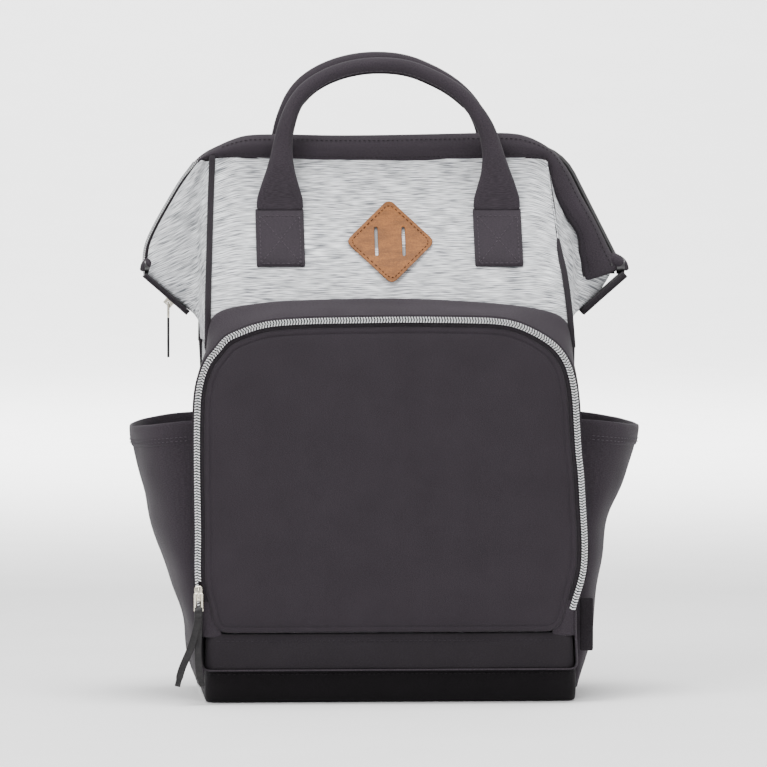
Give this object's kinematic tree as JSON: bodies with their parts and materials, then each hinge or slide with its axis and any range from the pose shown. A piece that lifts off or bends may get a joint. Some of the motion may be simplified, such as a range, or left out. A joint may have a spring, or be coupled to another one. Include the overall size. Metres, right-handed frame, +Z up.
{
  "type": "diaper backpack",
  "caption": "Upright soft diaper backpack with a wide wire-framed zip mouth, twin carry handles, arched front pocket, side bottle pockets and padded shoulder straps.",
  "frame": {"origin": "centre of the base's flat underside", "axes": "+Z up, the front pocket faces -Y, +X to the right when looking at the front"},
  "size_m": [0.3882, 0.229, 0.4885],
  "materials": {
    "charcoal_fabric": "dense charcoal weave",
    "heather_fabric": "light grey heather weave",
    "lining_fabric": "smooth grey lining",
    "padded_back": "padded charcoal weave",
    "webbing": "ribbed charcoal webbing",
    "tan_leatherette": "tan grain, stitched edge",
    "black_trim": "black binding and zip tape",
    "zip_teeth": "silver teeth",
    "steel_wire": "bright wire",
    "pale_metal": "pale gold hardware",
    "black_leather": "dark strip",
    "buckle_plastic": "moulded black",
    "base_board": "stiffener",
    "label_tape": "blank woven tab"
  },
  "bodies": {
    "shell": {"base_boot": "charcoal_fabric", "base_board": "base_board", "front_wall": "heather_fabric", "back_wall": "charcoal_fabric", "left_side_wall": "heather_fabric", "right_side_wall": "heather_fabric", "lining": "lining_fabric", "inner_pocket": "lining_fabric", "back_pad": "padded_back", "left_gusset": "heather_fabric", "right_gusset": "heather_fabric", "hinge_pins": "steel_wire", "left_zip_tail": "black_trim", "right_zip_tail": "black_trim", "pocket_gusset": "charcoal_fabric", "pocket_lower_panel": "charcoal_fabric", "pocket_zip_outer": "zip_teeth", "left_bottle_pocket": "charcoal_fabric", "right_bottle_pocket": "charcoal_fabric", "left_pocket_hem": "charcoal_fabric", "right_pocket_hem": "charcoal_fabric", "strap_yoke": "charcoal_fabric", "left_strap_pad": "charcoal_fabric", "right_strap_pad": "charcoal_fabric", "left_strap_loop": "webbing", "right_strap_loop": "webbing", "left_webbing": "webbing", "right_webbing": "webbing", "strap_anchors": "charcoal_fabric", "side_label": "label_tape"},
    "mouth_front": {"front_frame": "steel_wire", "front_mouth_band": "charcoal_fabric", "mouth_zip_front": "zip_teeth", "upper_front_panel": "heather_fabric", "front_piping": "black_trim", "leather_patch": "tan_leatherette", "front_handle_tabs": "charcoal_fabric"},
    "mouth_rear": {"rear_frame": "steel_wire", "rear_mouth_band": "charcoal_fabric", "mouth_zip_rear": "zip_teeth", "upper_rear_panel": "heather_fabric", "rear_piping": "black_trim", "rear_handle_tabs": "charcoal_fabric"},
    "front_grip": {"front_handle": "charcoal_fabric"},
    "rear_grip": {"rear_handle": "charcoal_fabric"},
    "flap": {"pocket_flap": "charcoal_fabric", "pocket_zip_inner": "zip_teeth"},
    "pocket_zip_slider": {"pocket_slider": "pale_metal"},
    "pocket_zip_pull": {"pocket_pull_link": "pale_metal", "pocket_pull_strip": "black_leather"},
    "mouth_zip_slider": {"mouth_slider": "pale_metal"},
    "mouth_zip_pull": {"mouth_pull_link": "pale_metal", "mouth_pull_tab": "black_leather"},
    "left_buckle": {"left_adjuster": "buckle_plastic", "left_webbing_tail": "webbing"},
    "right_buckle": {"right_adjuster": "buckle_plastic", "right_webbing_tail": "webbing"}
  },
  "joints": [
    {"name": "front_frame_hinge", "type": "hinge", "parent": "shell", "child": "mouth_front", "pos_m": [0, 0, 0.325], "axis": [1, 0, 0], "range_deg": [0, 40], "deforming": ["upper_front_panel", "front_piping", "left_gusset", "right_gusset"]},
    {"name": "rear_frame_hinge", "type": "hinge", "parent": "shell", "child": "mouth_rear", "pos_m": [0, 0, 0.325], "axis": [-1, 0, 0], "range_deg": [0, 40], "deforming": ["upper_rear_panel", "rear_piping"]},
    {"name": "front_handle_hinge", "type": "hinge", "parent": "mouth_front", "child": "front_grip", "pos_m": [0, -0.02909, 0.36965], "axis": [1, 0, 0], "range_deg": [0, 80]},
    {"name": "rear_handle_hinge", "type": "hinge", "parent": "mouth_rear", "child": "rear_grip", "pos_m": [0, 0.02909, 0.36965], "axis": [-1, 0, 0], "range_deg": [0, 80]},
    {"name": "pocket_flap_hinge", "type": "hinge", "parent": "shell", "child": "flap", "pos_m": [0, -0.09735, 0.054], "axis": [1, 0, 0], "range_deg": [0, 95]},
    {"name": "pocket_slider_slide", "type": "slide", "parent": "shell", "child": "pocket_zip_slider", "axis": [0, 0, 1], "range_m": [0, 0.11]},
    {"name": "pocket_pull_swing", "type": "hinge", "parent": "pocket_zip_slider", "child": "pocket_zip_pull", "pos_m": [-0.1451, -0.1037, 0.084], "axis": [-1, 0, 0], "range_deg": [0, 120]},
    {"name": "mouth_slider_slide", "type": "slide", "parent": "shell", "child": "mouth_zip_slider", "axis": [-0.7502, 0, 0.6612], "range_m": [0, 0.015]},
    {"name": "mouth_pull_swing", "type": "hinge", "parent": "mouth_zip_slider", "child": "mouth_zip_pull", "pos_m": [-0.16458, 0, 0.29743], "axis": [0, 1, 0], "range_deg": [-15, 60]},
    {"name": "left_buckle_tilt", "type": "hinge", "parent": "shell", "child": "left_buckle", "pos_m": [-0.062, 0.09491, 0.0902], "axis": [1, 0, 0], "range_deg": [0, 35]},
    {"name": "right_buckle_tilt", "type": "hinge", "parent": "shell", "child": "right_buckle", "pos_m": [0.062, 0.09491, 0.0902], "axis": [1, 0, 0], "range_deg": [0, 35]}
  ]
}
